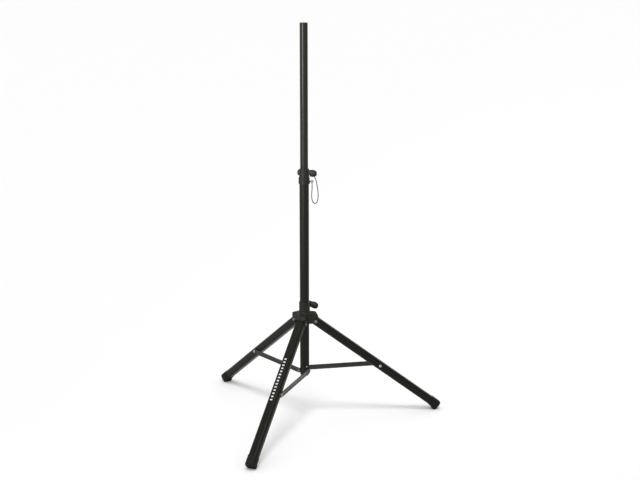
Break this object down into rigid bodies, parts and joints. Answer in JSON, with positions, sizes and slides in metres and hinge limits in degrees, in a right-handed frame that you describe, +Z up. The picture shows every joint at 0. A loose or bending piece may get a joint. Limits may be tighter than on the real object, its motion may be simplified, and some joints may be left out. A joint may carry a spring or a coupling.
{
  "type": "speaker tripod stand",
  "caption": "Black telescoping speaker stand: round mast clamped in a lower tube, sliding hub, folding tripod legs tied to the tube by flat braces, locking pin on a lanyard.",
  "frame": {"origin": "middle of the footprint of the open stand, on the floor", "axes": "+Z up along the column, -Y towards the side that the front leg points to"},
  "size_m": [1.0538, 1.1132, 1.791],
  "materials": {
    "tube_paint": "satin black",
    "leg_paint": "satin black",
    "brace_paint": "satin black",
    "moulding": "fine textured black",
    "handle": "satin black",
    "rubber": "matt black",
    "nylon": "natural nylon",
    "cable": "vinyl coated wire",
    "steel": "zinc plated"
  },
  "bodies": {
    "column": {"lower_tube": "tube_paint", "lower_tube_bush": "nylon", "collar": "moulding", "collar_rivet_left": "steel", "collar_rivet_rear": "steel", "collar_threaded_insert": "steel", "lanyard_eyelet": "steel", "lanyard_cable": "cable", "base_fitting": "moulding", "base_rivet_front": "steel", "base_rivet_rear": "steel", "brace_root_pin_front": "steel", "brace_root_pin_right": "steel", "brace_root_pin_left": "steel"},
    "mast": {"mast_tube": "tube_paint", "mast_top_plug": "moulding", "mast_guide_shoe": "nylon"},
    "locking_pin": {"locking_pin": "steel", "lanyard_loop": "cable", "lanyard_ferrule": "steel"},
    "collar_pad": {"collar_pressure_pad": "nylon"},
    "collar_knob": {"collar_clamp_screw": "steel", "collar_handle": "handle"},
    "hub": {"hub": "moulding", "hub_bush": "nylon", "hub_threaded_insert": "steel", "leg_pivot_pin_front": "steel", "leg_pivot_pin_right": "steel", "leg_pivot_pin_left": "steel"},
    "hub_pad": {"hub_pressure_pad": "nylon"},
    "hub_knob": {"hub_clamp_screw": "steel", "hub_handle": "handle"},
    "front_leg": {"leg_front": "leg_paint", "leg_spacer_front": "steel", "foot_boot_front": "rubber", "brace_washer_front": "nylon", "brace_rivet_front": "steel"},
    "front_brace": {"brace_front": "brace_paint", "brace_rivet_head_front": "steel"},
    "right_leg": {"leg_right": "leg_paint", "leg_spacer_right": "steel", "foot_boot_right": "rubber", "brace_washer_right": "nylon", "brace_rivet_right": "steel"},
    "right_brace": {"brace_right": "brace_paint", "brace_rivet_head_right": "steel"},
    "left_leg": {"leg_left": "leg_paint", "leg_spacer_left": "steel", "foot_boot_left": "rubber", "brace_washer_left": "nylon", "brace_rivet_left": "steel"},
    "left_brace": {"brace_left": "brace_paint", "brace_rivet_head_left": "steel"}
  },
  "joints": [
    {"name": "mast_slide", "type": "slide", "parent": "column", "child": "mast", "axis": [0, 0, 1], "range_m": [-0.6, 0]},
    {"name": "locking_pin_slide", "type": "slide", "parent": "column", "child": "locking_pin", "axis": [0.9962, 0.0872, 0], "range_m": [-0.003, 0.035]},
    {"name": "collar_pad_travel", "type": "slide", "parent": "column", "child": "collar_pad", "axis": [0.2588, 0.9659, 0], "range_m": [0, 0.00126]},
    {"name": "collar_knob_turn", "type": "hinge", "parent": "collar_pad", "child": "collar_knob", "pos_m": [-0.10132, 0.07656, 1.131], "axis": [0.2588, 0.9659, 0], "range_deg": [0, 360]},
    {"name": "hub_slide", "type": "slide", "parent": "column", "child": "hub", "axis": [0, 0, 1], "range_m": [0, 0.48082]},
    {"name": "hub_pad_travel", "type": "slide", "parent": "hub", "child": "hub_pad", "axis": [0.3584, 0.9336, 0], "range_m": [0, 0.00126]},
    {"name": "hub_knob_turn", "type": "hinge", "parent": "hub_pad", "child": "hub_knob", "pos_m": [-0.0969, 0.07933, 0.527], "axis": [0.3584, 0.9336, 0], "range_deg": [0, 360]},
    {"name": "front_leg_fold", "type": "hinge", "parent": "hub", "child": "front_leg", "pos_m": [-0.12621, 0.00296, 0.462], "axis": [0.9336, -0.3584, 0], "range_deg": [0, 50.56]},
    {"name": "front_brace_fold", "type": "hinge", "parent": "column", "child": "front_brace", "pos_m": [-0.08839, 0.02893, 0.229], "axis": [-0.9336, 0.3584, 0], "range_deg": [0, 80.91]},
    {"name": "right_leg_fold", "type": "hinge", "parent": "hub", "child": "right_leg", "pos_m": [-0.06187, 0.05506, 0.462], "axis": [-0.1564, 0.9877, 0], "range_deg": [0, 50.56]},
    {"name": "right_brace_fold", "type": "hinge", "parent": "column", "child": "right_brace", "pos_m": [-0.10327, 0.07483, 0.229], "axis": [0.1564, -0.9877, 0], "range_deg": [0, 80.91]},
    {"name": "left_leg_fold", "type": "hinge", "parent": "hub", "child": "left_leg", "pos_m": [-0.13916, 0.08473, 0.462], "axis": [-0.7771, -0.6293, 0], "range_deg": [0, 50.56]},
    {"name": "left_brace_fold", "type": "hinge", "parent": "column", "child": "left_brace", "pos_m": [-0.13558, 0.039, 0.229], "axis": [0.7771, 0.6293, 0], "range_deg": [0, 80.91]}
  ],
  "couplings": [
    {"joint": "collar_pad_travel", "follows": "collar_knob_turn", "m_per_rad": 0.00019894},
    {"joint": "hub_pad_travel", "follows": "hub_knob_turn", "m_per_rad": 0.00019894},
    {"joint": "front_leg_fold", "follows": "hub_slide", "rad_per_m": 1.8353},
    {"joint": "front_brace_fold", "follows": "hub_slide", "rad_per_m": 2.9369},
    {"joint": "right_leg_fold", "follows": "hub_slide", "rad_per_m": 1.8353},
    {"joint": "right_brace_fold", "follows": "hub_slide", "rad_per_m": 2.9369},
    {"joint": "left_leg_fold", "follows": "hub_slide", "rad_per_m": 1.8353},
    {"joint": "left_brace_fold", "follows": "hub_slide", "rad_per_m": 2.9369}
  ]
}
